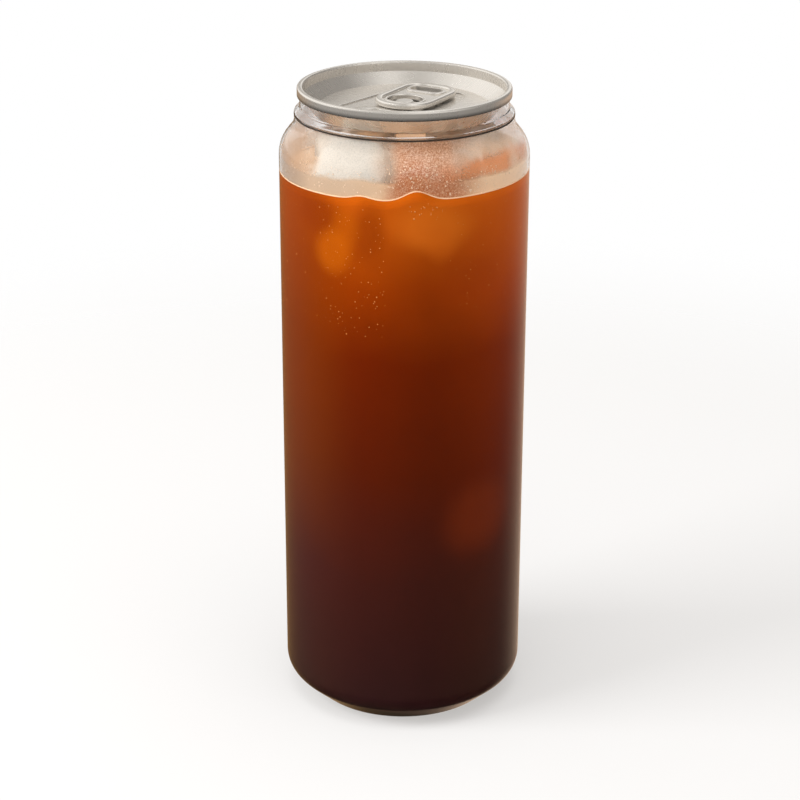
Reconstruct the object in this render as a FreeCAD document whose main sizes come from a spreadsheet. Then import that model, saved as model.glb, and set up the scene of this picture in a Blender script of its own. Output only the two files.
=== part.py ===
import FreeCAD, Part
import math
import os
import re
import Sketcher
from FreeCAD import Placement, Rotation, Vector

# A tall clear PET drink can: a thin blown body, a double-seamed aluminium end with a riveted
# pull tab, and a chilled drink with ice inside. Millimetres, +Z up, the origin at the middle
# of the ring that the can stands on, -Y to the front. Heights near the top are drops from the
# rim, and lid features lie along the tab's own axis.

SIZES = {
    # the whole can
    "can_height": 169.2,
    "body_radius": 32.25,
    "body_wall": 0.5,
    "fit_gap": 0.05,
    # shoulder and neck of the body
    "shoulder_base_drop": 14.42,
    "shoulder_base_round": 9.0,
    "shoulder_top_drop": 9.66,
    "shoulder_top_round": 4.0,
    "bead_radius": 28.25,
    "bead_drop": 6.45,
    "bead_round": 0.8,
    "flare_drop": 5.2,
    "flare_round": 0.7,
    "line_drop": 7.14,
    "line_width": 0.5,
    "line_depth": 0.25,
    "flange_reach": 0.4,
    "flange_height": 1.35,
    # base of the body
    "heel_height": 6.7,
    "heel_inset": 7.55,
    "heel_round": 6.0,
    "foot_width": 2.4,
    "foot_round": 0.7,
    "foot_flank_height": 4.2,
    "foot_flank_lean": 0.8,
    "dome_height": 9.5,
    # aluminium end
    "lid_sheet": 0.25,
    "seam_cover": 0.2,
    "seam_inner_radius": 26.0,
    "seam_height": 2.55,
    "seam_outer_round": 0.65,
    "seam_inner_round": 0.5,
    "seam_foot_round": 0.3,
    "cover_hook_height": 0.8,
    "chuck_wall_drop": 2.6,
    "countersink_drop": 6.3,
    "countersink_radius": 23.1,
    "countersink_width": 1.1,
    "countersink_round": 0.4,
    "panel_drop": 5.0,
    "panel_edge_lean": 0.25,
    "panel_round": 0.45,
    # what is pressed into the panel
    "deboss_depth": 0.4,
    "deboss_mouth_half_width": 15.2,
    "deboss_tab_half_width": 9.0,
    "deboss_mouth_reach": 19.0,
    "deboss_tab_reach": 18.0,
    "deboss_mouth_round": 9.0,
    "deboss_tab_round": 5.0,
    "mouth_reach": 11.0,
    "mouth_length": 14.5,
    "mouth_width": 20.5,
    "mouth_round": 7.0,
    "score_width": 0.3,
    "score_depth": 0.1,
    "mouth_bead_inset": 2.3,
    "mouth_bead_width": 1.5,
    # rivet and pull tab
    "tab_azimuth": 60.0,
    "rivet_post_radius": 1.6,
    "rivet_head_radius": 2.4,
    "rivet_head_height": 1.0,
    "rivet_round": 0.55,
    "tab_length": 24.0,
    "tab_width": 16.0,
    "tab_nose_reach": 6.6,
    "tab_nose_round": 7.6,
    "tab_grip_round": 6.2,
    "tab_lift": 0.45,
    "tab_height": 1.6,
    "tab_curl_width": 1.9,
    "tab_curl_round": 0.65,
    "tab_web_height": 0.65,
    "tab_sheet": 0.3,
    "island_radius": 3.5,
    "slot_gap": 1.1,
    "slot_nose_reach": 3.0,
    "slot_nose_round": 3.0,
    "slot_lip_width": 0.8,
    "slot_lip_height": 1.35,
    "hole_reach": 11.4,
    "hole_length": 9.0,
    "hole_width": 3.8,
    "hole_curl_width": 1.0,
    "hole_curl_height": 1.35,
    "lip_round": 0.3,
    # drink: its level, and how the liquid climbs the wall at the front
    "drink_drop": 21.8,
    "drink_lean": 0.4,
    "climb_reach": 3.0,
    "left_climb": 0.9,
    "left_climb_azimuth": 250.5,
    "left_climb_spread": 6.0,
    "middle_climb": 2.4,
    "middle_climb_azimuth": 275.5,
    "middle_climb_spread": 7.5,
    "ice_round": 2.6,
}

# Ice cubes that stand out of the drink: their three sides, the azimuth and radius of the
# centre, its height over the drink, then the turn about +Z and the tilt about the turned X.
ICE_CUBES = {
    "ice_1": (18.0, 17.0, 20.0, 228.0, 18.2, -0.5, 52.0, 10.0),
    "ice_2": (17.0, 16.5, 21.0, 307.0, 18.4, -2.0, 30.0, -9.0),
    "ice_3": (17.5, 18.0, 19.0, 31.0, 18.0, 1.0, 24.0, 12.0),
    "ice_4": (18.5, 17.0, 18.0, 134.0, 18.0, -1.0, 40.0, -11.0),
}
ICE_WORDS = ("length", "width", "height", "azimuth", "ring", "rise", "turn", "tilt")

# The part of a smooth surface that is sampled to draw the top of the drink.
SURFACE_STEPS = 36

doc = FreeCAD.newDocument("ClearCan")
sheet = doc.addObject("Spreadsheet::Sheet", "Sizes")
for cube, values in ICE_CUBES.items():
    SIZES.update({f"{cube}_{word}": value for word, value in zip(ICE_WORDS, values)})
for row, (alias, value) in enumerate(SIZES.items(), start=1):
    sheet.set(f"A{row}", alias)
    sheet.set(f"B{row}", str(value))
    sheet.setAlias(f"B{row}", alias)
doc.recompute()

ALIAS_PATTERN = re.compile(r"\b(" + "|".join(sorted(SIZES, key=len, reverse=True)) + r")\b")


def bound(formula):
    """The formula with each size's name pointed at its cell."""
    return ALIAS_PATTERN.sub(r"Sizes.\1", formula)


def amount(formula):
    """The formula's value now, in millimetres or degrees."""
    return float(sheet.evalExpression(bound(formula)))


def origin_feature(body, role):
    return next(item for item in body.Origin.OriginFeatures if item.Role == role)


def new_body(label):
    body = doc.addObject("PartDesign::Body", label + "_body")
    body.Label = label
    return body


def new_sketch(body, name, plane, height="0"):
    """A sketch on one of the body's own planes, raised by the height along its normal."""
    sketch = body.newObject("Sketcher::SketchObject", name)
    sketch.AttachmentSupport = [(origin_feature(body, plane), "")]
    sketch.MapMode = "FlatFace"
    if height != "0":
        sketch.setExpression("AttachmentOffset.Base.z", bound(height))
    return sketch


def hold_point(sketch, geometry, vertex, across, up):
    """Ties a point of the sketch to two formulas measured from its origin."""
    for formula, kind, axis in ((across, "DistanceX", -2), (up, "DistanceY", -1)):
        if formula == "0":
            sketch.addConstraint(Sketcher.Constraint("PointOnObject", geometry, vertex, axis))
            continue
        index = sketch.addConstraint(
            Sketcher.Constraint(kind, -1, 1, geometry, vertex, amount(formula)))
        sketch.setExpression(f"Constraints[{index}]", bound(formula))


def draw_outline(sketch, corners, dome=None):
    """Draws a closed outline of straight sides through corners (across, up, radius).

    A corner whose radius isn't "0" is rounded, with its sharp corner kept as a construction
    point. The side that starts at corner number dome is an arc centred on the upright axis.
    """
    count = len(corners)
    sharp = [Vector(amount(c[0]), amount(c[1]), 0) for c in corners]
    ends = []
    for i, corner in enumerate(corners):
        radius = amount(corner[2])
        back = (sharp[i - 1] - sharp[i]).normalize()
        ahead = (sharp[(i + 1) % count] - sharp[i]).normalize()
        reach = 0 if radius == 0 else radius / math.tan(back.getAngle(ahead) / 2)
        ends.append((sharp[i] + back * reach, sharp[i] + ahead * reach, back, ahead, radius))
    sides = []
    for i in range(count):
        start, finish = ends[i][1], ends[(i + 1) % count][0]
        if i == dome:
            rise = finish.y - start.y
            sphere = (start.x ** 2 + rise ** 2) / (2 * rise)
            circle = Part.Circle(Vector(0, finish.y - sphere, 0), Vector(0, 0, 1), sphere)
            first = math.atan2(start.y - finish.y + sphere, start.x)
            sides.append(sketch.addGeometry(Part.ArcOfCircle(circle, first, math.pi / 2)))
            sketch.addConstraint(Sketcher.Constraint("PointOnObject", sides[-1], 3, -2))
        else:
            sides.append(sketch.addGeometry(Part.LineSegment(start, finish)))
    for i, (across, up, radius_formula) in enumerate(corners):
        before, after = sides[i - 1], sides[i]
        enter, leave, back, ahead, radius = ends[i]
        if radius == 0:
            sketch.addConstraint(Sketcher.Constraint("Coincident", before, 2, after, 1))
            hold_point(sketch, after, 1, across, up)
            continue
        inward = (back + ahead).normalize()
        centre = sharp[i] + inward * (radius / math.sin(back.getAngle(ahead) / 2))
        left_turn = back.cross(ahead).z < 0
        first, last = (enter, leave) if left_turn else (leave, enter)
        angles = [math.atan2(end.y - centre.y, end.x - centre.x) for end in (first, last)]
        sweep = (angles[1] - angles[0]) % (2 * math.pi)
        circle = Part.Circle(centre, Vector(0, 0, 1), radius)
        rounding = sketch.addGeometry(Part.ArcOfCircle(circle, angles[0], angles[0] + sweep))
        enter_end, leave_end = (1, 2) if left_turn else (2, 1)
        sketch.addConstraint(Sketcher.Constraint("Tangent", before, 2, rounding, enter_end))
        sketch.addConstraint(Sketcher.Constraint("Tangent", rounding, leave_end, after, 1))
        index = sketch.addConstraint(Sketcher.Constraint("Radius", rounding, radius))
        sketch.setExpression(f"Constraints[{index}]", bound(radius_formula))
        corner_point = sketch.addGeometry(Part.Point(sharp[i]), True)
        sketch.addConstraint(Sketcher.Constraint("PointOnObject", corner_point, 1, before))
        sketch.addConstraint(Sketcher.Constraint("PointOnObject", corner_point, 1, after))
        hold_point(sketch, corner_point, 1, across, up)


def turned(body, name, corners, kind="PartDesign::Revolution", dome=None):
    """Adds or cuts the ring that an outline sweeps round the upright axis."""
    sketch = new_sketch(body, name + "_profile", "XZ_Plane")
    draw_outline(sketch, corners, dome)
    feature = body.newObject(kind, name)
    feature.Profile = sketch
    feature.ReferenceAxis = (sketch, ["V_Axis"])
    feature.Angle = 360
    doc.recompute()
    return feature


def raised(body, name, loops, bottom, height, kind="PartDesign::Pad", down=False):
    """Adds or cuts a plate whose outline loops lie at the bottom formula's height."""
    sketch = new_sketch(body, name + "_outline", "XY_Plane", bottom)
    for corners in loops:
        draw_outline(sketch, corners)
    feature = body.newObject(kind, name)
    feature.Profile = sketch
    feature.setExpression("Length", bound(height))
    feature.Reversed = down
    doc.recompute()
    return feature


def level_edges(shape, level):
    """Names of the edges that lie flat at a level."""
    names = []
    for number, edge in enumerate(shape.Edges, start=1):
        box = edge.BoundBox
        if abs(box.ZMin - level) < 1e-4 and abs(box.ZMax - level) < 1e-4:
            names.append(f"Edge{number}")
    return names


def round_level(body, name, level, radius, keep=lambda edge: True):
    """Rounds the edges that lie flat at a level, or those of them that keep chooses."""
    base = body.Tip
    names = [n for n in level_edges(base.Shape, amount(level)) if keep(base.Shape.getElement(n))]
    feature = body.newObject("PartDesign::Fillet", name)
    feature.Base = (base, names)
    feature.setExpression("Radius", bound(radius))
    doc.recompute()
    return feature


def rounded_box(length, width, radius, middle="0"):
    """Corners of an upright rectangle about the X axis, centred at the middle formula."""
    right = f"{middle} + ({length}) / 2"
    left = f"{middle} - ({length}) / 2"
    half = f"({width}) / 2"
    return [(right, f"-{half}", radius), (right, half, radius),
            (left, half, radius), (left, f"-{half}", radius)]


# ---- clear body: a turned solid with the seamed flange, its hollow, and the neck line ----
NECK_RADIUS = "(seam_inner_radius + lid_sheet + fit_gap + body_wall)"
SEAM_BOTTOM = "(can_height - seam_height)"
SEAM_SLOT = f"({NECK_RADIUS} + flange_reach + fit_gap)"
SEAM_RADIUS = f"({SEAM_SLOT} + seam_cover)"
FLANGE_TOP = "(can_height - lid_sheet - fit_gap)"


def corner_shift(run, rise):
    """How far a corner slides along its upright side when the wall is set in."""
    return f"body_wall * tan(atan(({run}) / ({rise})) / 2)"


def make_can_body():
    body = new_body("can_body")
    foot_outer = "body_radius - heel_inset"
    foot_inner = f"{foot_outer} - foot_width"
    flank_top = f"{foot_inner} - foot_flank_lean"
    outer_form = turned(body, "outer_form", [
        ("0", FLANGE_TOP, "0"),
        (f"{NECK_RADIUS} + flange_reach", FLANGE_TOP, "0"),
        (f"{NECK_RADIUS} + flange_reach", f"{FLANGE_TOP} - flange_height", "0"),
        (NECK_RADIUS, f"{FLANGE_TOP} - flange_height", "0"),
        (NECK_RADIUS, "can_height - flare_drop", "flare_round"),
        ("bead_radius", "can_height - bead_drop", "bead_round"),
        ("bead_radius", "can_height - shoulder_top_drop", "shoulder_top_round"),
        ("body_radius", "can_height - shoulder_base_drop", "shoulder_base_round"),
        ("body_radius", "heel_height", "heel_round"),
        (foot_outer, "0", "foot_round"),
        (foot_inner, "0", "foot_round"),
        (flank_top, "foot_flank_height", "0"),
        ("0", "dome_height", "0"),
    ], dome=11)
    flare = corner_shift(f"bead_radius - {NECK_RADIUS}", "bead_drop - flare_drop")
    shoulder = corner_shift("body_radius - bead_radius", "shoulder_base_drop - shoulder_top_drop")
    heel = corner_shift("heel_inset", "heel_height")
    foot = corner_shift("heel_height", "heel_inset")
    flank = corner_shift("foot_flank_height", "foot_flank_lean")
    turned(body, "hollow", [
        ("0", "can_height", "0"),
        (f"{NECK_RADIUS} - body_wall", "can_height", "0"),
        (f"{NECK_RADIUS} - body_wall", f"can_height - flare_drop - {flare}",
         "flare_round + body_wall"),
        ("bead_radius - body_wall", f"can_height - bead_drop - {flare}",
         "bead_round - body_wall"),
        ("bead_radius - body_wall", f"can_height - shoulder_top_drop - {shoulder}",
         "shoulder_top_round + body_wall"),
        ("body_radius - body_wall", f"can_height - shoulder_base_drop - {shoulder}",
         "shoulder_base_round - body_wall"),
        ("body_radius - body_wall", f"heel_height + {heel}", "heel_round - body_wall"),
        (f"{foot_outer} - {foot}", "body_wall", "foot_round - body_wall"),
        (f"{foot_inner} + {flank}", "body_wall", "foot_round - body_wall"),
        (f"{flank_top} + body_wall", "foot_flank_height + body_wall", "0"),
        ("0", "dome_height + body_wall", "0"),
    ], kind="PartDesign::Groove", dome=9)
    turned(body, "neck_line", [
        ("bead_radius + line_depth", "can_height - line_drop - line_width", "0"),
        ("bead_radius + line_depth", "can_height - line_drop + line_width", "0"),
        ("bead_radius - line_depth", "can_height - line_drop", "0"),
    ], kind="PartDesign::Groove")
    return body, outer_form


# ---- aluminium end: panel, countersink, chuck wall and the seam hooked round the flange ----
def make_can_lid():
    body = new_body("can_lid")
    panel = "can_height - panel_drop"
    sink = "can_height - countersink_drop"
    sink_inner = "countersink_radius - countersink_width"
    slot_inner = "seam_inner_radius + lid_sheet"
    hook_inner = f"{NECK_RADIUS} + fit_gap"
    hook_top = f"{SEAM_BOTTOM} + cover_hook_height"
    turned(body, "end_shell", [
        ("0", panel, "0"),
        (f"{sink_inner} - panel_edge_lean", panel, "panel_round"),
        (sink_inner, sink, "countersink_round"),
        ("countersink_radius", sink, "countersink_round"),
        ("seam_inner_radius", "can_height - chuck_wall_drop", "0"),
        ("seam_inner_radius", "can_height", "seam_inner_round"),
        (SEAM_RADIUS, "can_height", "seam_outer_round"),
        (SEAM_RADIUS, SEAM_BOTTOM, "seam_foot_round"),
        (hook_inner, SEAM_BOTTOM, "0"),
        (hook_inner, hook_top, "0"),
        (SEAM_SLOT, hook_top, "0"),
        (SEAM_SLOT, "can_height - lid_sheet", "0"),
        (slot_inner, "can_height - lid_sheet", "0"),
        (slot_inner, "can_height - chuck_wall_drop", "0"),
        ("countersink_radius + lid_sheet", f"{sink} - lid_sheet", "countersink_round"),
        (f"{sink_inner} - lid_sheet", f"{sink} - lid_sheet", "countersink_round"),
        (f"{sink_inner} - panel_edge_lean - lid_sheet", f"{panel} - lid_sheet", "0"),
        ("0", f"{panel} - lid_sheet", "0"),
    ])
    floor = f"{panel} - deboss_depth"

    def deboss(grow):
        return [
            (f"-deboss_mouth_reach - {grow}", f"-deboss_mouth_half_width - {grow}",
             "deboss_mouth_round"),
            (f"deboss_tab_reach + {grow}", f"-deboss_tab_half_width - {grow}",
             "deboss_tab_round"),
            (f"deboss_tab_reach + {grow}", f"deboss_tab_half_width + {grow}",
             "deboss_tab_round"),
            (f"-deboss_mouth_reach - {grow}", f"deboss_mouth_half_width + {grow}",
             "deboss_mouth_round"),
        ]

    def mouth(inset):
        return rounded_box(f"mouth_length - 2 * ({inset})", f"mouth_width - 2 * ({inset})",
                           f"mouth_round - ({inset})", "-mouth_reach")

    raised(body, "deboss_under", [deboss("lid_sheet")], f"{panel} - lid_sheet",
           "deboss_depth", down=True)
    raised(body, "deboss", [deboss("0.0")], panel, "deboss_depth",
           kind="PartDesign::Pocket", down=False)
    raised(body, "mouth_score", [mouth("0.0"), mouth("score_width")], floor, "score_depth",
           kind="PartDesign::Pocket", down=False)
    bead_outer = mouth("mouth_bead_inset")
    bead_inner = mouth("mouth_bead_inset + mouth_bead_width")
    bead_height = "(tab_lift - fit_gap)"
    raised(body, "mouth_bead", [bead_outer, bead_inner], floor, bead_height)
    round_level(body, "mouth_bead_rounding", f"{floor} + {bead_height}", "lip_round")
    island_top = f"{floor} + 2 * fit_gap + tab_sheet"
    turned(body, "rivet", [
        ("0", f"{floor} - lid_sheet / 2", "0"),
        ("rivet_post_radius", f"{floor} - lid_sheet / 2", "0"),
        ("rivet_post_radius", island_top, "0"),
        ("rivet_head_radius", island_top, "0"),
        ("rivet_head_radius", f"{island_top} + rivet_head_height", "rivet_round"),
        ("0", f"{island_top} + rivet_head_height", "0"),
    ])
    body.setExpression("Placement.Rotation.Angle", bound("tab_azimuth"))
    return body


# ---- pull tab: a curled rim, a web, the riveted island and the grip hole ----
def make_pull_tab():
    body = new_body("pull_tab")
    floor = "can_height - panel_drop - deboss_depth"
    rest = f"{floor} + tab_lift"
    middle = "tab_length / 2 - tab_nose_reach"

    def outline(inset):
        near = f"({inset}) - tab_nose_reach"
        far = f"tab_length - tab_nose_reach - ({inset})"
        half = f"tab_width / 2 - ({inset})"
        return [(near, f"-({half})", f"tab_nose_round - ({inset})"),
                (far, f"-({half})", f"tab_grip_round - ({inset})"),
                (far, half, f"tab_grip_round - ({inset})"),
                (near, half, f"tab_nose_round - ({inset})")]

    def island(grow):
        return rounded_box(f"tab_nose_reach + island_radius + ({grow}) - tab_curl_width / 2",
                           f"2 * (island_radius + ({grow}))", f"island_radius + ({grow}) - lip_round",
                           f"(island_radius + ({grow}) - tab_nose_reach + tab_curl_width / 2) / 2")

    def slot(grow):
        near = f"-slot_nose_reach - ({grow})"
        far = f"island_radius + slot_gap + ({grow})"
        nose_round = f"slot_nose_round + ({grow})"
        return [(near, f"-({far})", nose_round), (far, f"-({far})", f"{far} - lip_round"),
                (far, far, f"{far} - lip_round"), (near, far, nose_round)]

    def hole(grow):
        return rounded_box(f"hole_width + 2 * ({grow})", f"hole_length + 2 * ({grow})",
                           f"hole_width / 2 + ({grow}) - lip_round / 2", "hole_reach")

    raised(body, "rim", [outline("0.0"), outline("tab_curl_width")], rest, "tab_height")
    round_level(body, "rim_top_rounding", f"{rest} + tab_height", "tab_curl_round")
    round_level(body, "rim_foot_rounding", rest, "tab_curl_round")
    raised(body, "web", [outline("tab_curl_width / 2")], f"{rest} + tab_web_height",
           "tab_sheet")
    raised(body, "slot_lip", [slot("slot_lip_width")], rest, "slot_lip_height")
    round_level(body, "slot_lip_rounding", f"{rest} + slot_lip_height", "lip_round")
    raised(body, "slot", [slot("0.0")], f"{rest} + tab_height", "tab_height + tab_lift",
           kind="PartDesign::Pocket")
    raised(body, "hole_curl", [hole("hole_curl_width")], rest, "hole_curl_height")
    round_level(body, "hole_curl_rounding", f"{rest} + hole_curl_height", "lip_round")
    raised(body, "hole", [hole("0.0")], f"{rest} + tab_height", "tab_height + tab_lift",
           kind="PartDesign::Pocket")
    raised(body, "island", [island("0.0")], f"{floor} + fit_gap", "tab_sheet")
    raised(body, "bridge", [rounded_box("tab_curl_width", "island_radius * 1.6", "lip_round",
                                        "tab_curl_width - tab_nose_reach")],
           f"{floor} + fit_gap", "tab_lift + tab_web_height")
    post_hole = "2 * (rivet_post_radius + fit_gap)"
    sketch = new_sketch(body, "rivet_hole_outline", "XY_Plane", f"{rest} + tab_height")
    ring = sketch.addGeometry(Part.Circle(Vector(0, 0, 0), Vector(0, 0, 1), amount(post_hole) / 2))
    sketch.addConstraint(Sketcher.Constraint("Coincident", ring, 3, -1, 1))
    index = sketch.addConstraint(Sketcher.Constraint("Diameter", ring, amount(post_hole)))
    sketch.setExpression(f"Constraints[{index}]", bound(post_hole))
    pocket = body.newObject("PartDesign::Pocket", "rivet_hole")
    pocket.Profile = sketch
    pocket.setExpression("Length", bound("tab_height + tab_lift"))
    doc.recompute()
    body.setExpression("Placement.Rotation.Angle", bound("tab_azimuth"))
    return body


# ---- ice cubes, and the drink that they float in ----
def make_ice(cube):
    """A rounded cube, turned and tilted about its centre."""
    body = new_body(cube)
    box = body.newObject("PartDesign::AdditiveBox", cube + "_block")
    box.setExpression("Length", bound(f"{cube}_length"))
    box.setExpression("Width", bound(f"{cube}_width"))
    box.setExpression("Height", bound(f"{cube}_height"))
    for axis, word in zip("xyz", ("length", "width", "height")):
        box.setExpression(f"Placement.Base.{axis}", bound(f"-{cube}_{word} / 2"))
    doc.recompute()
    rounding = body.newObject("PartDesign::Fillet", cube + "_rounding")
    rounding.Base = (box, [f"Edge{n}" for n in range(1, len(box.Shape.Edges) + 1)])
    rounding.setExpression("Radius", bound("ice_round"))
    body.setExpression("Placement.Base.x", bound(f"{cube}_ring * cos({cube}_azimuth)"))
    body.setExpression("Placement.Base.y", bound(f"{cube}_ring * sin({cube}_azimuth)"))
    body.setExpression("Placement.Base.z", bound(f"can_height - drink_drop + {cube}_rise"))
    turn = Rotation(Vector(0, 0, 1), amount(f"{cube}_turn"))
    tilt = Rotation(Vector(1, 0, 0), amount(f"{cube}_tilt"))
    body.Placement = Placement(body.Placement.Base, turn * tilt)
    doc.recompute()
    return body


def drink_height(x, y):
    """Height of the drink's surface, which climbs the wall at two places."""
    angle = math.degrees(math.atan2(y, x)) % 360
    inner = amount("body_radius - body_wall")
    near_wall = math.exp(-max(inner - math.hypot(x, y), 0) / amount("climb_reach"))
    height = amount("can_height - drink_drop") + amount("drink_lean") * x / inner
    for side in ("left", "middle"):
        offset = (angle - amount(f"{side}_climb_azimuth")) / amount(f"{side}_climb_spread")
        height += amount(f"{side}_climb") * near_wall * math.exp(-offset ** 2)
    return height


def make_drink(outer_form, can_body, cubes):
    """Fills the hollow body up to the uneven surface, and leaves room for the ice."""
    reach = amount("body_radius") + 2 * amount("body_wall")
    steps = [reach * (2 * n / SURFACE_STEPS - 1) for n in range(SURFACE_STEPS + 1)]
    surface = Part.BSplineSurface()
    surface.interpolate([[Vector(x, y, drink_height(x, y)) for y in steps] for x in steps])
    below = surface.toShape().extrude(Vector(0, 0, -amount("can_height")))
    cavity = outer_form.Shape.cut(can_body.Shape)
    shape = cavity.common(below)
    for cube in cubes:
        shape = shape.cut(cube.Shape)
    drink = doc.addObject("Part::Feature", "drink")
    drink.Shape = max(shape.Solids, key=lambda solid: solid.Volume)
    drink.Label = "drink"
    drink.Placement = Placement()
    return drink


can_body, outer_form = make_can_body()
can_lid = make_can_lid()
pull_tab = make_pull_tab()
ice_cubes = [make_ice(cube) for cube in ICE_CUBES]
doc.recompute()
drink = make_drink(outer_form, can_body, ice_cubes)
doc.recompute()

parts = [can_body, can_lid, pull_tab, drink] + ice_cubes
for item in doc.Objects:
    if "Invalid" in item.State or "Error" in item.State:
        raise RuntimeError(f"{item.Name} didn't build: {item.State}")
for part in parts:
    if part.Shape.isNull() or not part.Shape.isValid() or len(part.Shape.Solids) != 1:
        raise RuntimeError(f"{part.Label} isn't one valid solid")

os.makedirs("parts", exist_ok=True)
for part in parts:
    part.Shape.exportStep(f"parts/{part.Label}.step")
    print(part.Label, round(part.Shape.Volume / 1000, 2), "ml")
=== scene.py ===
import math
import random

import bmesh
import bpy
from mathutils import Matrix, Vector, noise


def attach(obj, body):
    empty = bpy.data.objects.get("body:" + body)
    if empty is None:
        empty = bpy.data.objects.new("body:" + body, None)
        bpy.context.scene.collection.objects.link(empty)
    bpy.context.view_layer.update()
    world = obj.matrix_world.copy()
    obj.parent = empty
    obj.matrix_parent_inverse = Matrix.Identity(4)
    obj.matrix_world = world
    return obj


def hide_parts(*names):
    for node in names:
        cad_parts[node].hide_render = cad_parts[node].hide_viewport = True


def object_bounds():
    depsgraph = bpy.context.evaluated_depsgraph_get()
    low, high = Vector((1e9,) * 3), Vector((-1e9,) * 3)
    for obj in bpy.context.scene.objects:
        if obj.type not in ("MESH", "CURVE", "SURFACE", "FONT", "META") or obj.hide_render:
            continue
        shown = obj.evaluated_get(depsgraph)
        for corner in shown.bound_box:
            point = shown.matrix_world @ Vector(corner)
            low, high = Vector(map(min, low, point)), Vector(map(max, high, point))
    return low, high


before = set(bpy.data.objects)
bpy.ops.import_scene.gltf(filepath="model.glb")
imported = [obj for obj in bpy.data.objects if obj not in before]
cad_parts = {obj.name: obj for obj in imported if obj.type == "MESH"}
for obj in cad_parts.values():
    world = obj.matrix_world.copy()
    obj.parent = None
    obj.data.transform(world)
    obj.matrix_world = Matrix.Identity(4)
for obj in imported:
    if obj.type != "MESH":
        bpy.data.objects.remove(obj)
cad_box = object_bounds()

MM = 0.001
random.seed(1255)

# Sizes of the can, in millimetres, as in the CAD. Drops are measured down from the rim.
HEIGHT = round(cad_box[1][2] / MM, 2)
BODY_RADIUS = round(cad_box[1][0] / MM, 2)
WALL = 0.5
INNER = BODY_RADIUS - WALL
NECK_RADIUS = 28.25
SHOULDER_BASE_DROP, SHOULDER_BASE_ROUND = 14.42, 9.0
SHOULDER_TOP_DROP, SHOULDER_TOP_ROUND = 9.66, 4.0
LINE_DROP, LINE_WIDTH = 7.14, 0.5
HEEL_INSET, HEEL_HEIGHT, HEEL_ROUND = 7.55, 6.7, 6.0
FOOT_WIDTH, FOOT_ROUND = 2.4, 0.7
FLANK_HEIGHT, FLANK_LEAN = 4.2, 0.8
DOME_HEIGHT = 9.5

# The drink: its level, its lean to the right, and how it climbs the front wall, as climbs
# of (height in mm, azimuth and spread in degrees).
LEVEL = HEIGHT - 21.8
LEAN = 0.4
CLIMBS = [(0.9, 250.5, 6.0), (2.4, 275.5, 7.5)]
CLIMB_REACH = 3.0

# The fill reaches this far into the wall, and stays this far inside the foot's outside.
INTO_WALL = 0.25
FILL_RADIUS = INNER + INTO_WALL
FOOT_GAP = 0.1
# The film of mist lies this far inside the wall.
MIST_INSET = 0.12


# ---------------------------------------------------------------- helpers
def link(obj):
    bpy.context.scene.collection.objects.link(obj)
    return obj


def mesh_object(name, verts, faces):
    """A smooth mesh from points in millimetres."""
    mesh = bpy.data.meshes.new(name)
    mesh.from_pydata([tuple(c * MM for c in v) for v in verts], [], faces)
    mesh.validate()
    mesh.shade_smooth()
    return link(bpy.data.objects.new(name, mesh))


def add_piece(obj, slot, *nodes):
    """Puts a piece on the body and hides the CAD nodes that it replaces; the slot is not used."""
    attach(obj, "root")
    if nodes:
        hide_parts(*nodes)
    return obj


def linear(r, g, b):
    """sRGB 0-255 to linear, with an alpha of 1."""
    values = [c / 255 for c in (r, g, b)]
    return [c / 12.92 if c <= 0.04045 else ((c + 0.055) / 1.055) ** 2.4 for c in values] + [1.0]


class Nodes:
    """A small helper that adds shader nodes to a tree and links them."""

    def __init__(self, tree):
        self.tree = tree
        tree.nodes.clear()

    def add(self, kind, inputs=None, **settings):
        node = self.tree.nodes.new(kind)
        for key, value in settings.items():
            setattr(node, key, value)
        for key, value in (inputs or {}).items():
            socket = node.inputs[key]
            if isinstance(value, bpy.types.NodeSocket):
                self.tree.links.new(value, socket)
            else:
                socket.default_value = value
        return node

    def math(self, operation, a, b=0.0, clamp=False):
        return self.add("ShaderNodeMath", {0: a, 1: b}, operation=operation,
                        use_clamp=clamp).outputs[0]

    def smooth(self, value, low, high, to_low=0.0, to_high=1.0):
        return self.add("ShaderNodeMapRange", {"Value": value, "From Min": low, "From Max": high,
                                               "To Min": to_low, "To Max": to_high},
                        interpolation_type="SMOOTHSTEP").outputs["Result"]

    def mix(self, factor, a, b, blend="MIX"):
        node = self.add("ShaderNodeMix", data_type="RGBA", blend_type=blend)
        for name, value in (("Factor_Float", factor), ("A_Color", a), ("B_Color", b)):
            socket = next(s for s in node.inputs if s.identifier == name)
            if isinstance(value, bpy.types.NodeSocket):
                self.tree.links.new(value, socket)
            else:
                socket.default_value = value
        return next(s for s in node.outputs if s.identifier == "Result_Color")

    def ramp(self, value, stops):
        node = self.add("ShaderNodeValToRGB", {"Fac": value})
        ramp = node.color_ramp
        ramp.interpolation = "LINEAR"
        while len(ramp.elements) > 1:
            ramp.elements.remove(ramp.elements[-1])
        ramp.elements[0].position, ramp.elements[0].color = stops[0]
        for position, color in stops[1:]:
            ramp.elements.new(position).color = color
        return node.outputs["Color"]

    def noise(self, vector, scale, detail=3.0, roughness=0.5):
        texture = self.add("ShaderNodeTexNoise", {"Vector": vector, "Scale": scale,
                                                  "Detail": detail, "Roughness": roughness})
        return texture.outputs["Fac"]

    def axis(self, vector):
        return self.add("ShaderNodeSeparateXYZ", {"Vector": vector}).outputs

    def length(self, vector):
        return self.add("ShaderNodeVectorMath", {0: vector}, operation="LENGTH").outputs["Value"]

    def place(self):
        """The place on the object, in metres."""
        return self.add("ShaderNodeTexCoord").outputs["Object"]

    def seen(self):
        """1 for rays from the camera and for rays that came through something clear, else 0."""
        path = self.add("ShaderNodeLightPath")
        return self.math("MAXIMUM", path.outputs["Is Camera Ray"],
                         path.outputs["Is Transmission Ray"])

    def output(self, shader, world=False):
        kind = "ShaderNodeOutputWorld" if world else "ShaderNodeOutputMaterial"
        self.add(kind, {"Surface": shader})


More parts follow.
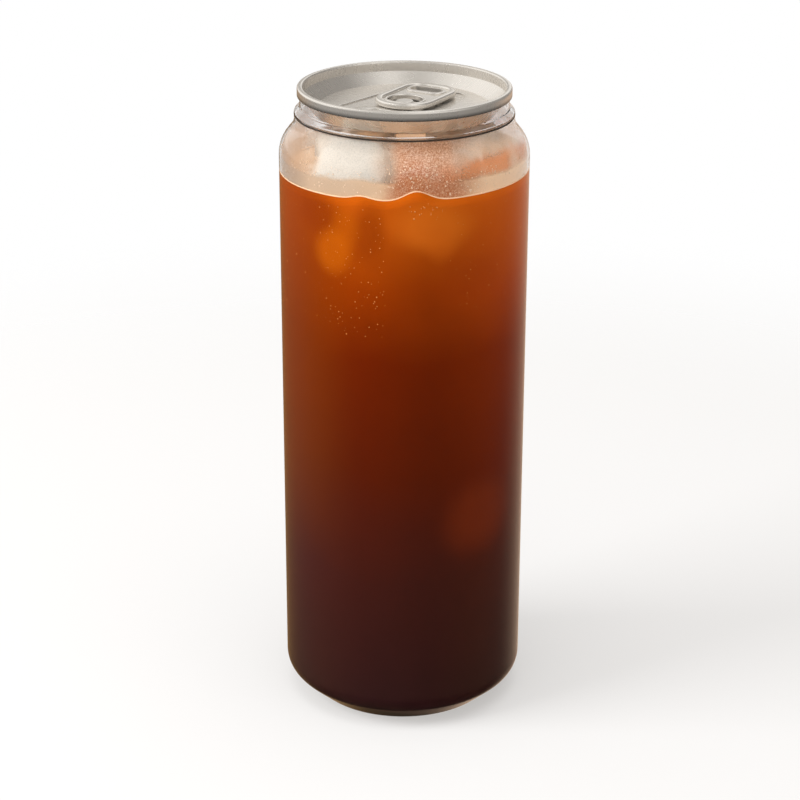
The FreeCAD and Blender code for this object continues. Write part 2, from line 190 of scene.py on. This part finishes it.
def material(name):
    mat = bpy.data.materials.new(name)
    mat.use_nodes = True
    return mat, Nodes(mat.node_tree)


def finish_with(obj, *mats):
    obj.data.materials.clear()
    for mat in mats:
        obj.data.materials.append(mat)


# ---------------------------------------------------------------- materials
def clear_pet():
    """Clear blown PET: glossy outside, faintly uneven, and it lets the light in to the drink."""
    mat, n = material("clear_pet")
    where = n.place()
    waves = n.noise(where, 45.0, 2.0)
    bump = n.add("ShaderNodeBump", {"Height": waves, "Strength": 0.1, "Distance": 0.0008})
    rough = n.smooth(n.noise(where, 70.0, 2.0), 0.4, 0.75, 0.02, 0.05)
    pet = n.add("ShaderNodeBsdfPrincipled", {
        "Base Color": (0.985, 0.985, 0.98, 1), "Roughness": rough, "IOR": 1.34,
        "Specular IOR Level": 0.13, "Specular Tint": (1.0, 0.72, 0.4, 1),
        "Transmission Weight": 1.0, "Normal": bump.outputs[0]})
    clear = n.add("ShaderNodeBsdfTransparent", {"Color": (0.97, 0.965, 0.955, 1)})
    path = n.add("ShaderNodeLightPath")
    shader = n.add("ShaderNodeMixShader", {0: path.outputs["Is Shadow Ray"],
                                           1: pet.outputs[0], 2: clear.outputs[0]})
    n.output(shader.outputs[0])
    return mat


def aluminium(name, base, roughness, grain_axis):
    """Rolled sheet: its gloss drifts along the grain, under a faintly mottled lacquer."""
    mat, n = material(name)
    where = n.place()
    stretched = n.add("ShaderNodeMapping", {"Vector": where, "Scale": grain_axis}).outputs[0]
    grain = n.noise(stretched, 160.0, 2.0, 0.5)
    mottle = n.noise(where, 90.0, 3.0)
    color = n.mix(n.smooth(mottle, 0.3, 0.7), [c * 0.95 for c in base[:3]] + [1], base)
    # painted shade: the seam's lower outer side, where it is tucked in, is coloured darker
    flat = n.add("ShaderNodeVectorMath", {0: where, 1: (1, 1, 0)}, operation="MULTIPLY").outputs[0]
    below = n.smooth(n.axis(where)["Z"], (HEIGHT - 1.2) * MM, (HEIGHT - 2.4) * MM)
    seam_foot_shade = n.math("MULTIPLY", below, n.smooth(n.length(flat), 26.6 * MM, 27.0 * MM))
    color = n.mix(n.math("MULTIPLY", seam_foot_shade, 0.75), color, linear(38, 34, 32))
    rough = n.smooth(grain, 0.3, 0.7, roughness - 0.01, roughness + 0.02)
    metal = n.add("ShaderNodeBsdfPrincipled", {
        "Base Color": color, "Metallic": 0.88, "Roughness": rough})
    n.output(metal.outputs[0])
    return mat


# Colours of the drink down its left, middle and right: height in mm, and an sRGB
# colour.
# painted shade: these first stops make the drink darkest in its lowest few mm, at the foot
FOOT_SHADE = [(0, (12, 6, 4)), (1.7, (14, 8, 6)), (2.5, (56, 36, 30))]
MIDDLE = FOOT_SHADE + [(8, (50, 25, 25)), (45, (65, 25, 20)), (75, (90, 25, 5)), (105, (110, 30, 0)),
                 (125, (150, 55, 0)), (148, (195, 90, 10))]
LEFT = FOOT_SHADE + [(8, (55, 30, 25)), (45, (70, 30, 25)), (75, (100, 40, 10)), (110, (120, 45, 0)),
               (148, (150, 60, 0))]
RIGHT = FOOT_SHADE + [(8, (55, 30, 25)), (45, (75, 30, 20)), (75, (105, 30, 5)), (105, (130, 40, 0)),
                (125, (170, 65, 5)), (148, (205, 95, 15))]
RAMP_HEIGHT = 150

# Painted light in the drink: blurred lighter patches of sunken ice near the wall, and darker
# patches round them: centre and half sizes in mm, an sRGB colour, and strength.
PAINTED_LIGHT_PATCHES = [
    ((-21, -24, 142), (7, 12, 6), (134, 48, 3), 0.6),
    ((-9, -30, 139), (5, 12, 10), (140, 51, 2), 0.6),
    ((-14.5, -28, 140), (4.2, 12, 6), (184, 88, 4), 0.5),
    ((-17.5, -27, 133.5), (5.2, 12, 6.5), (194, 96, 6), 0.6),
    ((7, -31, 141.5), (11, 12, 7), (216, 112, 26), 0.7),
    ((9, -31, 136.5), (4, 12, 5), (204, 98, 18), 0.4),
    ((17, -27, 126), (10, 12, 7), (150, 50, 6), 0.25),
    ((20, -26, 61), (11, 12, 12), (128, 46, 16), 0.55),
]


def iced_drink():
    """Dark brown below, amber towards the top, with painted light and shade: lighter to the right,
    blurred light patches of sunken ice, and darkest at the foot.
    """
    mat, n = material("iced_drink")
    where = n.place()
    axes = n.axis(where)
    drift = n.noise(where, 45.0, 2.0)
    wave = n.math("MULTIPLY", n.math("SUBTRACT", drift, 0.5), 0.012)
    level = n.math("DIVIDE", n.math("ADD", axes["Z"], wave), RAMP_HEIGHT * MM)

    def column(stops):
        return n.ramp(level, [(h / RAMP_HEIGHT, linear(*c)) for h, c in stops])

    side = n.math("DIVIDE", axes["X"], INNER * MM)
    # painted light: the drink is coloured lighter to the right and darker to the left
    color = n.mix(n.smooth(side, 0.15, 0.75), column(MIDDLE), column(RIGHT))
    color = n.mix(n.smooth(side, -0.3, -0.85), color, column(LEFT))
    # painted light: each patch blends its colour into the drink, lighter over ice and darker round
    # it
    for centre, size, shade, strength in PAINTED_LIGHT_PATCHES:
        offset = n.add("ShaderNodeVectorMath", {0: where, 1: [c * MM for c in centre]},
                       operation="SUBTRACT").outputs[0]
        scaled = n.add("ShaderNodeVectorMath", {0: offset, 1: [1 / (s * MM) for s in size]},
                       operation="MULTIPLY").outputs[0]
        uneven = n.math("MULTIPLY", n.math("SUBTRACT", drift, 0.5), 0.8)
        ragged = n.math("ADD", n.length(scaled), uneven)
        mask = n.smooth(ragged, 1.25, 0.35, 0.0, strength)
        color = n.mix(mask, color, linear(*shade))
    liquid = n.add("ShaderNodeBsdfPrincipled", {
        "Base Color": color, "Roughness": 0.5, "IOR": 1.33, "Specular IOR Level": 0.0})
    n.output(liquid.outputs[0])
    return mat


def drink_surface():
    """The drink's top: pale and milky with frost, mottled with a browner tone."""
    mat, n = material("drink_surface")
    where = n.place()
    mottle = n.noise(where, 120.0, 4.0)
    fine = n.noise(where, 700.0, 3.0)
    color = n.mix(n.smooth(mottle, 0.35, 0.7), linear(206, 160, 118), linear(228, 192, 158))
    bump = n.add("ShaderNodeBump", {"Height": n.math("ADD", mottle, n.math("MULTIPLY", fine, 0.2)),
                                    "Strength": 0.3, "Distance": 0.0008})
    wet = n.add("ShaderNodeBsdfPrincipled", {
        "Base Color": color, "Roughness": 0.22, "IOR": 1.33, "Normal": bump.outputs[0]})
    n.output(wet.outputs[0])
    return mat


def ice(name, frost, snow, tint):
    """Ice: clear inside and frosted outside, with fine cracks."""
    mat, n = material(name)
    where = n.place()
    cloud = n.noise(where, 130.0, 4.0, 0.6)
    cracks = n.noise(where, 420.0, 5.0, 0.7)
    bump = n.add("ShaderNodeBump", {"Height": n.math("ADD", cloud, n.math("MULTIPLY", cracks, 0.4)),
                                    "Strength": 0.5, "Distance": 0.001})
    clear = n.add("ShaderNodeBsdfPrincipled", {
        "Base Color": tint, "Roughness": 0.28, "IOR": 1.31, "Transmission Weight": 1.0,
        "Normal": bump.outputs[0]})
    white = n.add("ShaderNodeBsdfPrincipled", {
        "Base Color": snow, "Roughness": 0.45, "Subsurface Weight": 0.4,
        "Subsurface Radius": (0.004, 0.004, 0.004), "Normal": bump.outputs[0]})
    cover = n.smooth(cloud, 0.62 - 0.4 * frost, 0.95 - 0.45 * frost, 0.0, 1.0)
    shader = n.add("ShaderNodeMixShader", {0: cover, 1: clear.outputs[0], 2: white.outputs[0]})
    n.output(shader.outputs[0])
    return mat


def wall_mist():
    """Fog on the clear wall: a milky wet band over the drink, then thinner patchy frost."""
    mat, n = material("wall_mist")
    where = n.place()
    x = n.axis(where)["X"]
    patches = n.noise(where, 110.0, 3.0, 0.6)
    soft = n.noise(where, 42.0, 2.0)
    specks = n.noise(where, 2600.0, 3.0, 0.7)

    # where the fog changes: mm over the drink's edge, and metres to the right of the middle
    rise = n.add("ShaderNodeAttribute", attribute_name="rise").outputs["Fac"]
    edge = n.math("ADD", rise, n.math("MULTIPLY", n.math("SUBTRACT", patches, 0.5), 2.4))
    across = n.math("ADD", x, n.math("MULTIPLY", n.math("SUBTRACT", soft, 0.5), 0.012))
    front = n.smooth(n.axis(where)["Y"], -0.012, -0.022)

    # gap is thin frost in the middle, snow the white patch left of it, tan the far left, which
    # is coloured darker as painted shade, and amber the patches on the right
    gap = n.math("MULTIPLY", n.smooth(across, -0.007, -0.001), n.smooth(across, 0.020, 0.010))
    gap = n.math("MULTIPLY", gap, front)
    snow = n.math("MULTIPLY", n.smooth(across, -0.025, -0.020), n.smooth(across, -0.003, -0.008))
    snow = n.math("MULTIPLY", snow, front)
    tan = n.smooth(across, -0.021, -0.026)
    amber = n.math("MULTIPLY", n.smooth(across, 0.006, 0.012), n.smooth(edge, 9.5, 7.0))
    amber = n.math("MULTIPLY", amber, n.smooth(soft, 0.6, 0.45))

    # how much it covers
    band = n.smooth(edge, 4.9, 3.6, 0.0, 0.9)
    frost = n.math("ADD", n.smooth(soft, 0.35, 0.7, 0.2, 0.6),
                   n.smooth(across, 0.006, 0.014, 0.0, 0.2))
    for mask, most in ((snow, 0.85), (tan, 0.65), (gap, 0.88), (amber, 0.6)):
        frost = n.math("MAXIMUM", frost, n.math("MULTIPLY", mask, most))
    frost = n.math("MULTIPLY", frost, n.smooth(specks, 0.36, 0.56, 0.82, 1.0))
    cover = n.math("MAXIMUM", band, frost)

    # its colours: the frost, the wet band, painted darker to its left as shade, and the drink's own
    # colour in the gap
    pale = n.mix(n.smooth(patches, 0.35, 0.65), linear(248, 210, 178), linear(255, 236, 216))
    pale = n.mix(amber, pale, linear(244, 150, 90))
    pale = n.mix(snow, pale, linear(206, 198, 188))
    # painted shade: a darker tan at the far left, and the wet band darker to the left
    pale = n.mix(tan, pale, linear(178, 142, 112))
    wet = n.mix(n.smooth(x, -0.02, 0.01), linear(192, 164, 138), linear(246, 206, 168))
    wet = n.mix(n.smooth(x, -0.022, -0.029), wet, linear(156, 130, 108))
    color = n.mix(n.smooth(edge, 5.2, 3.6), pale, wet)
    deep = n.mix(n.smooth(edge, 9.0, 4.0), linear(184, 122, 86), linear(174, 90, 44))
    color = n.mix(n.math("MULTIPLY", gap, n.smooth(specks, 0.95, 0.35)), color, deep)
    film = n.add("ShaderNodeBsdfPrincipled", {
        "Base Color": color, "Roughness": 0.5, "IOR": 1.33, "Specular IOR Level": 0.1,
        "Alpha": cover})
    n.output(film.outputs[0])
    return mat


def plain(name, color, roughness):
    """A small detail, faintly mottled: wet beads, and the rings of painted highlight and painted
    shade.
    """
    mat, n = material(name)
    where = n.place()
    mottle = n.noise(where, 300.0, 3.0)
    shade = n.mix(n.smooth(mottle, 0.3, 0.7), [c * 0.85 for c in color[:3]] + [1], color)
    surface = n.add("ShaderNodeBsdfPrincipled", {
        "Base Color": shade, "Roughness": roughness, "IOR": 1.33})
    n.output(surface.outputs[0])
    return mat


# ---------------------------------------------------------------- shapes
def rounded_outline(corners, steps=8):
    """Points (radius, height) along an outline whose corners (r, z, round) are rounded."""
    points = [corners[0][:2]]
    for before, corner, after in zip(corners, corners[1:], corners[2:]):
        at = Vector(corner[:2])
        back = (Vector(before[:2]) - at).normalized()
        ahead = (Vector(after[:2]) - at).normalized()
        half = back.angle(ahead) / 2
        middle = at + (back + ahead).normalized() * (corner[2] / math.sin(half))
        start = at + back * (corner[2] / math.tan(half)) - middle
        finish = at + ahead * (corner[2] / math.tan(half)) - middle
        if not corner[2]:
            points.append(corner[:2])
            continue
        for k in range(steps + 1):
            points.append(tuple(middle + start.slerp(finish, k / steps).normalized() * corner[2]))
    points.append(corners[-1][:2])
    return points


def revolve(name, rows, wave, count=256):
    """A closed turned mesh from rows (radius, height), whose ends lie on the axis.
    wave(x, y, z) gives each point's final height."""
    verts, faces = [], []
    rings = []
    for r, z in rows:
        if r < 1e-6:
            rings.append([len(verts)])
            verts.append((0, 0, wave(0, 0, z)))
            continue
        ring = []
        for k in range(count):
            a = 2 * math.pi * k / count
            x, y = r * math.cos(a), r * math.sin(a)
            ring.append(len(verts))
            verts.append((x, y, wave(x, y, z)))
        rings.append(ring)
    for low, high in zip(rings, rings[1:]):
        for k in range(count):
            j = (k + 1) % count
            if len(low) == 1:
                faces.append((low[0], high[j], high[k]))
            elif len(high) == 1:
                faces.append((low[k], low[j], high[0]))
            else:
                faces.append((low[k], low[j], high[j], high[k]))
    return mesh_object(name, verts, faces)


def surface_height(x, y):
    """Height of the drink over the base, with its two tongues up the wall and its meniscus."""
    azimuth = math.degrees(math.atan2(y, x)) % 360
    inset = max(INNER - math.hypot(x, y), 0)
    near = math.exp(-inset / CLIMB_REACH)
    height = LEVEL + LEAN * x / INNER
    for climb, middle, spread in CLIMBS:
        height += near * climb * math.exp(-((azimuth - middle) / spread) ** 2)
    ripple = 0.3 * noise.noise(Vector((x * 0.12, y * 0.12, 0))) * min(1, inset / 4)
    meniscus_rise = 0.5 * math.exp(-inset / 0.7)
    return height + ripple + meniscus_rise


def make_fill():
    """The drink: it reaches a little way into the clear wall, so no air shows between them."""
    def shift(run, rise):
        """How far a corner at the foot moves along it when its two sides move by the gap."""
        return FOOT_GAP * math.tan(math.atan(run / rise) / 2)

    foot = BODY_RADIUS - HEEL_INSET
    side = BODY_RADIUS - FOOT_GAP
    dome_radius = foot - FOOT_WIDTH - FLANK_LEAN
    dome_rise = DOME_HEIGHT - FLANK_HEIGHT
    dome_top = DOME_HEIGHT + FOOT_GAP
    outline = rounded_outline([
        (0, dome_top, 0), (dome_radius + FOOT_GAP, FLANK_HEIGHT + FOOT_GAP, 0),
        (foot - FOOT_WIDTH + shift(FLANK_HEIGHT, FLANK_LEAN), FOOT_GAP, FOOT_ROUND - FOOT_GAP),
        (foot - shift(HEEL_HEIGHT, HEEL_INSET), FOOT_GAP, FOOT_ROUND - FOOT_GAP),
        (side, HEEL_HEIGHT + shift(HEEL_INSET, HEEL_HEIGHT), HEEL_ROUND - FOOT_GAP),
        (side, LEVEL, 0)])
    dome_rows, wall_rows, top_rows = 16, 60, 64
    sphere = (dome_radius ** 2 + dome_rise ** 2) / (2 * dome_rise)
    dome = [(r, dome_top - sphere + math.sqrt(sphere ** 2 - r ** 2))
            for r in (dome_radius * k / dome_rows for k in range(dome_rows))]
    bend_top = max(z for _, z in outline[:-1])
    wall = [(FILL_RADIUS, bend_top + (LEVEL - bend_top) * k / wall_rows)
            for k in range(1, wall_rows + 1)]
    top = [(INNER - INNER * (k / top_rows) ** 1.6, LEVEL) for k in range(1, top_rows)]
    rows = dome + outline[1:-1] + wall + top + [(0, LEVEL)]

    def wave(x, y, z):
        if z <= bend_top:
            return z
        reach = (z - bend_top) / (LEVEL - bend_top)
        return z + (surface_height(x, y) - LEVEL) * reach ** 12

    return revolve("drink_fill", rows, wave)


def make_mist():
    """The fogged, wet inside of the wall over the drink, with its height over the edge."""
    neck = NECK_RADIUS - WALL
    slope_shift = 0.2
    top_drop = 7.6
    shoulder = rounded_outline([
        (INNER, 0, 0),
        (INNER, HEIGHT - SHOULDER_BASE_DROP - slope_shift, SHOULDER_BASE_ROUND - WALL),
        (neck, HEIGHT - SHOULDER_TOP_DROP - slope_shift, SHOULDER_TOP_ROUND + WALL),
        (neck, HEIGHT - top_drop, 0)], 10)[1:]
    count, low_rows = 360, 14
    foot = shoulder[0][1]
    verts, faces, rises = [], [], []
    rows = low_rows + len(shoulder)
    for k in range(count):
        a = 2 * math.pi * k / count
        edge = surface_height(INNER * math.cos(a), INNER * math.sin(a))
        column = [(INNER, edge + (foot - edge) * j / low_rows) for j in range(low_rows)] + shoulder
        for r, z in column:
            verts.append(((r - MIST_INSET) * math.cos(a), (r - MIST_INSET) * math.sin(a), z))
            rises.append(z - edge)
    for k in range(count):
        a, b = k * rows, ((k + 1) % count) * rows
        for j in range(rows - 1):
            faces.append((a + j, b + j, b + j + 1, a + j + 1))
    mist = mesh_object("wall_mist", verts, faces)
    layer = mist.data.attributes.new("rise", "FLOAT", "POINT")
    layer.data.foreach_set("value", rises)
    return mist


def make_ring(name, section):
    """A thin tube round the axis. section(a) gives, at the azimuth a, the radius and height
    of its middle and its half width and half height."""
    verts, faces = [], []
    count, sides = 360, 8
    for k in range(count):
        a = 2 * math.pi * k / count
        radius, height, half_width, half_height = section(a)
        for s in range(sides):
            t = 2 * math.pi * s / sides
            r = radius + half_width * math.cos(t)
            verts.append((r * math.cos(a), r * math.sin(a), height + half_height * math.sin(t)))
    for k in range(count):
        for s in range(sides):
            a, b = k * sides, ((k + 1) % count) * sides
            t = (s + 1) % sides
            faces.append((a + s, b + s, b + t, a + t))
    return mesh_object(name, verts, faces)


def meniscus_section(a):
    """The wet edge where the drink meets the wall, coloured pale as a painted highlight."""
    x, y = INNER * math.cos(a), INNER * math.sin(a)
    size = 0.26 + 0.1 * noise.noise(Vector((x * 0.4, y * 0.4, 3)))
    return INNER - 0.05, surface_height(x, y), size, size


def neck_line_section(a):
    """The ring in the groove round the neck, coloured dark as painted shade."""
    return NECK_RADIUS - 0.13, HEIGHT - LINE_DROP, 0.17, LINE_WIDTH / 2


def make_ice_cube(name, cube, seed):
    """A worn ice cube: a rounded block with melted, uneven faces."""
    length, width, height, azimuth, ring, rise, turn, tilt = cube
    bm = bmesh.new()
    bmesh.ops.create_cube(bm, size=1.0)
    bmesh.ops.subdivide_edges(bm, edges=bm.edges[:], cuts=20, use_grid_fill=True)
    half = Vector((length, width, height)) / 2
    bend = 3.0
    for v in bm.verts:
        p = Vector([c * 2 * h for c, h in zip(v.co, half)])
        core = Vector([max(-h + bend, min(h - bend, c)) for c, h in zip(p, half)])
        out = p - core
        if out.length > 0:
            p = core + out.normalized() * bend
        d = noise.noise(p * 0.16 + Vector((seed * 7, 0, 0))) * 0.9
        d += noise.noise(p * 0.5 + Vector((0, seed * 5, 0))) * 0.25
        v.co = p * 0.98 + p.normalized() * (d - 0.5)
    angle = math.radians(azimuth)
    place = Matrix.Translation((ring * math.cos(angle), ring * math.sin(angle), LEVEL + rise))
    turned = Matrix.Rotation(math.radians(turn), 4, "Z")
    tilted = Matrix.Rotation(math.radians(tilt), 4, "X")
    bm.transform(place @ turned @ tilted)
    bm.transform(Matrix.Scale(MM, 4))
    mesh = bpy.data.meshes.new(name)
    bm.to_mesh(mesh)
    bm.free()
    mesh.shade_smooth()
    return link(bpy.data.objects.new(name, mesh))


# Ice that stands out of the drink: three sides, the azimuth and radius of the centre and
# its height over the level, then the turn about +Z and the tilt about the turned X.
ICE_CUBES = {
    "ice_1": (18.0, 17.0, 20.0, 228.0, 18.2, -0.5, 52.0, 10.0),
    "ice_2": (17.0, 16.5, 21.0, 307.0, 18.4, -2.0, 30.0, -9.0),
    "ice_3": (17.5, 18.0, 19.0, 31.0, 18.0, 1.0, 24.0, 12.0),
    "ice_4": (18.5, 17.0, 18.0, 134.0, 18.0, -1.0, 40.0, -11.0),
}


def scatter(name, groups, radius):
    """Small rounded beads on the inside of the wall, from groups of
    (count, lowest height, highest height, first azimuth, last azimuth, smallest, largest)."""
    squash = 0.5
    bead = bmesh.new()
    bmesh.ops.create_icosphere(bead, subdivisions=2, radius=1.0)
    shape = [v.co.copy() for v in bead.verts]
    tris = [tuple(v.index for v in f.verts) for f in bead.faces]
    bead.free()
    verts, faces = [], []
    for count, low, high, first, last, smallest, largest in groups:
        for _ in range(count):
            a = math.radians(random.uniform(first, last))
            z = random.uniform(low, high)
            size = smallest + (largest - smallest) * random.random() ** 2
            out = Vector((math.cos(a), math.sin(a), 0))
            side = Vector((-math.sin(a), math.cos(a), 0))
            base = len(verts)
            for v in shape:
                at = out * (radius + v.x * size * squash) + side * v.y * size
                verts.append((at.x, at.y, z + v.z * size))
            faces += [tuple(base + i for i in t) for t in tris]
    return mesh_object(name, verts, faces)


# ---------------------------------------------------------------- the can
finish_with(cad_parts["can_body"], clear_pet())
finish_with(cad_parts["can_lid"],
            aluminium("end_aluminium", linear(232, 227, 220), 0.27, (1.0, 6.0, 1.0)))
finish_with(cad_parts["pull_tab"],
            aluminium("tab_aluminium", linear(236, 231, 224), 0.22, (6.0, 1.0, 1.0)))

fill = make_fill()
finish_with(fill, iced_drink(), drink_surface())
SURFACE_FROM = 140
for polygon in fill.data.polygons:
    if polygon.normal.z > 0.3 and polygon.center.z > SURFACE_FROM * MM:
        polygon.material_index = 1
add_piece(fill, "drink", "drink")

meniscus = make_ring("meniscus", meniscus_section)
# painted highlight: the meniscus ring is coloured pale
finish_with(meniscus, plain("meniscus", linear(244, 206, 168), 0.15))
add_piece(meniscus, "drink")

mist = make_mist()
mist.visible_shadow = False
finish_with(mist, wall_mist())
add_piece(mist, "clear_pet")

neck_line = make_ring("neck_line", neck_line_section)
# painted shade: a dark ring in the groove, where the clear wall looks dark
finish_with(neck_line, plain("neck_line", linear(50, 40, 34), 0.4))
add_piece(neck_line, "clear_pet")

for seed, (name, cube) in enumerate(ICE_CUBES.items(), start=1):
    block = make_ice_cube(name + "_block", cube, seed)
    near_front = name == "ice_1"
    frost = 0.95 if near_front else 0.45
    # painted shade: the block near the front gets a darker snow than the others
    snow = linear(206, 194, 180) if near_front else linear(240, 226, 210)
    finish_with(block, ice(name + "_ice", frost, snow, (1.0, 0.93, 0.86, 1)))
    add_piece(block, "ice", name)

bubbles = scatter("bubbles", [
    (120, 112, 146, 226, 262, 0.07, 0.17), (26, 143, 147.5, 272, 288, 0.08, 0.24),
    (60, 118, 146, 288, 330, 0.06, 0.15), (170, 114, 146.5, -30, 226, 0.07, 0.17)],
    FILL_RADIUS)
finish_with(bubbles, plain("bubble", linear(224, 148, 76), 0.25))
add_piece(bubbles, "drink")

frost_beads = scatter("frost_beads", [
    (110, 151, 157, 262, 285, 0.07, 0.22), (140, 149, 155, 285, 335, 0.07, 0.22),
    (90, 149, 155, 205, 262, 0.07, 0.22), (300, 149, 155, -25, 205, 0.07, 0.22)],
    INNER - MIST_INSET)
finish_with(frost_beads, plain("frost_bead", linear(236, 206, 176), 0.2))
add_piece(frost_beads, "clear_pet")


# ---------------------------------------------------------------- floor, light and camera
def make_floor():
    """A pale matt floor that keeps the can's shadow and fades into the white further out."""
    size = 1.2
    mesh = bpy.data.meshes.new("floor")
    mesh.from_pydata([(-size, -size, 0), (size, -size, 0), (size, size, 0), (-size, size, 0)],
                     [], [(0, 1, 2, 3)])
    floor = link(bpy.data.objects.new("floor", mesh))
    mat, n = material("pale_floor")
    matt = n.add("ShaderNodeBsdfDiffuse", {"Color": (0.36, 0.36, 0.36, 1)})
    lift = n.add("ShaderNodeEmission", {"Color": (0.46, 0.445, 0.43, 1), "Strength": n.seen()})
    matt = n.add("ShaderNodeAddShader", {0: matt.outputs[0], 1: lift.outputs[0]})
    clear = n.add("ShaderNodeBsdfTransparent")
    far = n.smooth(n.length(n.place()), 0.22, 0.42)
    shader = n.add("ShaderNodeMixShader", {0: far, 1: matt.outputs[0], 2: clear.outputs[0]})
    n.output(shader.outputs[0])
    floor.data.materials.append(mat)
    floor.visible_glossy = False


def make_world():
    """A white studio: plain white to the camera and through the clear wall, and softly
    graded in what the metal and the wall reflect."""
    world = bpy.data.worlds.new("studio")
    world.use_nodes = True
    bpy.context.scene.world = world
    n = Nodes(world.node_tree)
    axes = n.axis(n.add("ShaderNodeTexCoord").outputs["Generated"])
    x, y, z = (axes[k] for k in "XYZ")

    # what glossy surfaces reflect from above: bright behind to the right of the middle and at
    # the far left, dim at the far right and greyer in front
    up = n.mix(n.smooth(x, -0.08, 0.12), (0.4, 0.375, 0.345, 1), (1.0, 0.985, 0.96, 1))
    up = n.mix(n.smooth(x, -0.15, -0.5), up, (1.0, 0.98, 0.95, 1))
    up = n.mix(n.smooth(x, 0.2, 0.55), up, (0.27, 0.255, 0.24, 1))
    in_front = n.mix(n.smooth(x, -0.4, 0.4), (0.42, 0.41, 0.39, 1), (0.85, 0.83, 0.8, 1))
    up = n.mix(n.smooth(y, 0.1, -0.8), up, in_front)

    # and from below: near black straight down, dim in front, warm behind
    black = (0.02, 0.018, 0.016, 1)
    near = n.mix(n.smooth(z, -0.75, -0.25), black, (0.24, 0.225, 0.21, 1))
    far = n.mix(n.smooth(x, -0.15, 0.15), (0.3, 0.175, 0.07, 1), (0.66, 0.47, 0.34, 1))
    down = n.mix(n.smooth(y, 0.2, 0.98), near, far)
    down = n.mix(n.smooth(z, -0.95, -0.6), black, down)
    reflected = n.mix(n.smooth(z, -0.05, 0.05), down, up)

    # the soft light on matt surfaces comes more from the front left
    leftward = n.math("ADD", n.math("MULTIPLY", x, -0.5), n.math("MULTIPLY", y, -0.85))
    around = n.mix(n.smooth(leftward, -0.6, 0.8), (0.5, 0.5, 0.5, 1), (1.1, 1.1, 1.1, 1))
    path = n.add("ShaderNodeLightPath")
    soft = n.mix(path.outputs["Is Glossy Ray"], around, reflected)
    color = n.mix(n.seen(), soft, (1.0, 1.0, 1.0, 1))
    background = n.add("ShaderNodeBackground", {"Color": color, "Strength": 1.0})
    n.output(background.outputs[0], world=True)


def add_softbox(name, place, size, power):
    """A square soft lamp aimed at the middle of the can. It isn't seen in reflections."""
    aim = Vector((0, 0, 0.08))
    light = bpy.data.lights.new(name, "AREA")
    light.size = size
    light.energy = power
    lamp = link(bpy.data.objects.new(name, light))
    lamp.location = place
    lamp.visible_glossy = False
    lamp.visible_transmission = False
    lamp.rotation_euler = (aim - Vector(place)).to_track_quat("-Z", "Y").to_euler()


def make_camera():
    """The photograph's view: in front, raised, looking down and rolled a little."""
    pitch, roll = 21.82, 0.20
    camera = bpy.data.cameras.new("camera")
    camera.sensor_width = 36.0
    camera.lens = 101.475
    camera.shift_x = -0.0044
    eye = link(bpy.data.objects.new("camera", camera))
    eye.location = (0.0, -0.5620, 0.3079)
    lowered = Matrix.Rotation(math.radians(90 - pitch), 4, "X")
    rolled = Matrix.Rotation(math.radians(roll), 4, "Z")
    eye.rotation_euler = (lowered @ rolled).to_euler()
    bpy.context.scene.camera = eye


make_floor()
make_world()
add_softbox("softbox_left", (-0.9, -0.3, 0.75), 0.6, 12.0)
add_softbox("softbox_top", (0.1, -0.2, 1.3), 0.9, 6.0)
make_camera()
bpy.context.scene.view_settings.view_transform = "Standard"
